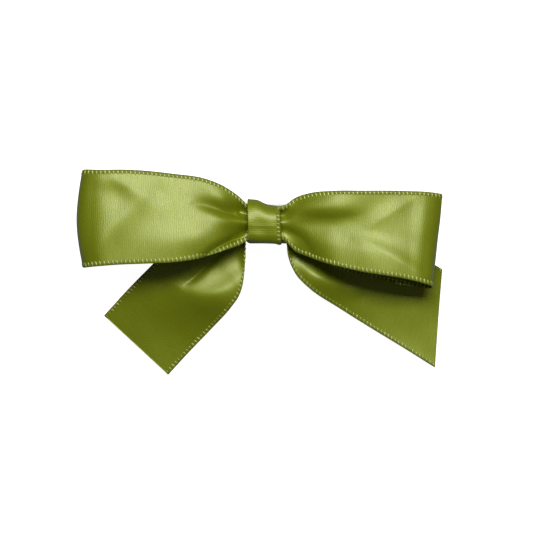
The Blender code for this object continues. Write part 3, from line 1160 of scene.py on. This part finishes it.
LEFT_TAIL_CREASES = (
    Crease(((28.0, -15.8, 0.2), (22.5, -18.6, 1.2), (16.0, -20.0, 1.8), (10.5, -18.4, 1.8),
            (6.5, -15.6, 1.5)), 7.0, 4.5, 0.5),
    Crease(((12.0, -8.0, -0.2), (15.5, -11.0, -0.7), (19.0, -14.2, -0.8), (23.0, -17.2, 0.0)), 2.0, 1.6, 0.3),
)
RIGHT_TAIL_RIBS = (
    (2.9, 4.0, 2.9, -4.0, 5.9, 5.9, 0.7, 0.0),
    (5.4, 3.9, 5.3, -4.8, 5.6, 5.7, 0.6, 0.0),
    (9.2, 4.3, 5.9, -8.6, 4.8, 5.0, 0.3, 0.0),
    (14.7, 4.2, 7.7, -13.0, 4.6, 4.8, 0.1, 0.0),
    (21.3, 2.4, 11.8, -17.4, 5.2, 5.4, 0.0, 0.0),
    (29.3, -0.9, 19.7, -22.6, 5.4, 3.4, 0.0, 0.0),
    (37.2, -5.6, 29.3, -28.6, 6.2, 3.2, 0.0, -0.6),
    (43.0, -10.0, 38.0, -33.9, 6.4, 4.6, 0.0, -0.9),
    (47.0, -12.4, 45.1, -38.4, 5.6, 5.2, 0.0, -0.9),
)
RIGHT_TAIL_CREASES = (
    Crease(((7.0, -9.4, 0.3), (12.0, -13.6, 1.3), (18.5, -16.9, 1.2), (26.0, -19.5, 0.0)), 3.0, 4.5, 0.4),
)


# ---------------------------------------------------------------- studio


@dataclass
class Studio:
    """Pale floor, soft light and the camera above the bow's face, in metres.

    Attributes:
        centre: Point that the camera looks down at.
        distance: Distance from the camera to the plane of the face.
        face_z: Height of that plane.
        field_width: Width of the view in that plane.
        sensor: Width of the camera's sensor, mm.
        reach: Half width of the floor.
        floor_z: Height of the floor.
        aim: Point that the light is turned to.
    """

    centre: tuple[float, float] = (0.0024, -0.0138)
    distance: float = 0.45
    face_z: float = 0.010
    field_width: float = 0.1452
    sensor: float = 36.0
    reach: float = 3.0
    floor_z: float = -0.0002
    aim: tuple[float, float, float] = (0.0, -0.005, 0.008)

    def floor(self) -> bpy.types.Object:
        """Lay the floor just under the bow.

        Returns:
            The floor.
        """
        mesh = bpy.data.meshes.new("floor")
        corners = [(x * self.reach, y * self.reach, self.floor_z)
                   for x, y in ((-1, -1), (1, -1), (1, 1), (-1, 1))]
        mesh.from_pydata(corners, [], [(0, 1, 2, 3)])
        mat = bpy.data.materials.new("floor_white")
        mat.use_nodes = True
        shader = principled(mat.node_tree)
        shader.inputs["Roughness"].default_value = 0.9
        w = Wiring(mat.node_tree)
        seen = w.add("LightPath").outputs["Is Camera Ray"]
        tone = w.add("MapRange", {0: seen, 3: 0.3, 4: 0.9})
        w.join(tone.outputs[0], shader.inputs["Base Color"])
        w.join(w.math("MULTIPLY", seen, 0.96), shader.inputs["Emission Strength"])
        shader.inputs["Emission Color"].default_value = (1, 1, 1, 1)
        mesh.materials.append(mat)
        obj = bpy.data.objects.new("floor", mesh)
        bpy.context.scene.collection.objects.link(obj)
        return obj

    def lamp(self, name: str, place: tuple[float, float, float], size: tuple[float, float],
             power: float) -> None:
        """Hang a soft box aimed at the bow.

        Args:
            name: Name of the light.
            place: Its place, metres.
            size: Its width and height, metres.
            power: Its power, watts.
        """
        data = bpy.data.lights.new(name, "AREA")
        data.shape = "RECTANGLE"
        data.size, data.size_y = size
        data.energy = power
        obj = bpy.data.objects.new(name, data)
        obj.location = place
        aim = Vector(self.aim) - Vector(place)
        obj.rotation_euler = aim.to_track_quat("-Z", "Y").to_euler()
        bpy.context.scene.collection.objects.link(obj)

    def build(self) -> None:
        """Set up the floor, light, world and camera."""
        self.floor()
        self.lamp("key_above", (0.04, 0.26, 0.54), (0.45, 0.18), 2.6)
        world = bpy.data.worlds.new("studio_air")
        world.use_nodes = True
        air = world.node_tree.nodes["Background"].inputs
        air["Color"].default_value = (1, 1, 1, 1)
        air["Strength"].default_value = 0.06
        bpy.context.scene.world = world
        data = bpy.data.cameras.new("camera")
        data.sensor_width = self.sensor
        data.lens = self.sensor * self.distance / self.field_width
        data.clip_start, data.clip_end = 0.01, 20.0
        camera = bpy.data.objects.new("camera", data)
        camera.location = (*self.centre, self.distance + self.face_z)
        bpy.context.scene.collection.objects.link(camera)
        bpy.context.scene.camera = camera
        view = bpy.context.scene.view_settings
        view.view_transform = "Standard"
        view.look = "None"


def main() -> None:
    """Build the bow piece by piece."""
    logging.basicConfig(level=logging.INFO, format="%(message)s")
    band = CentreBand().build()
    LOG.info("centre band: %s", band.name)
    for strand in Waist().build():
        LOG.info("waist: %s", strand.name)
    LOG.info("thread: %s", BindingThread().build().name)
    for piece in BackFixing().build():
        LOG.info("back: %s", piece.name)
    loops = (Loop(Side.LEFT, LEFT_RIBS, LEFT_CREASES, length=100.0, seed=11, bulge=1.3),
             Loop(Side.RIGHT, RIGHT_RIBS, RIGHT_CREASES, length=94.0, seed=21, lean=0.11, bulge=0.2))
    for loop in loops:
        LOG.info("loop: %s", loop.build().name)
    tails = (Tail(Side.LEFT, LEFT_TAIL_RIBS, LEFT_TAIL_CREASES, length=50.0, seed=31),
             Tail(Side.RIGHT, RIGHT_TAIL_RIBS, RIGHT_TAIL_CREASES, length=50.0, seed=35))
    for tail in tails:
        LOG.info("tail: %s", tail.build().name)
    Studio().build()


if __name__ == "__main__":
    main()
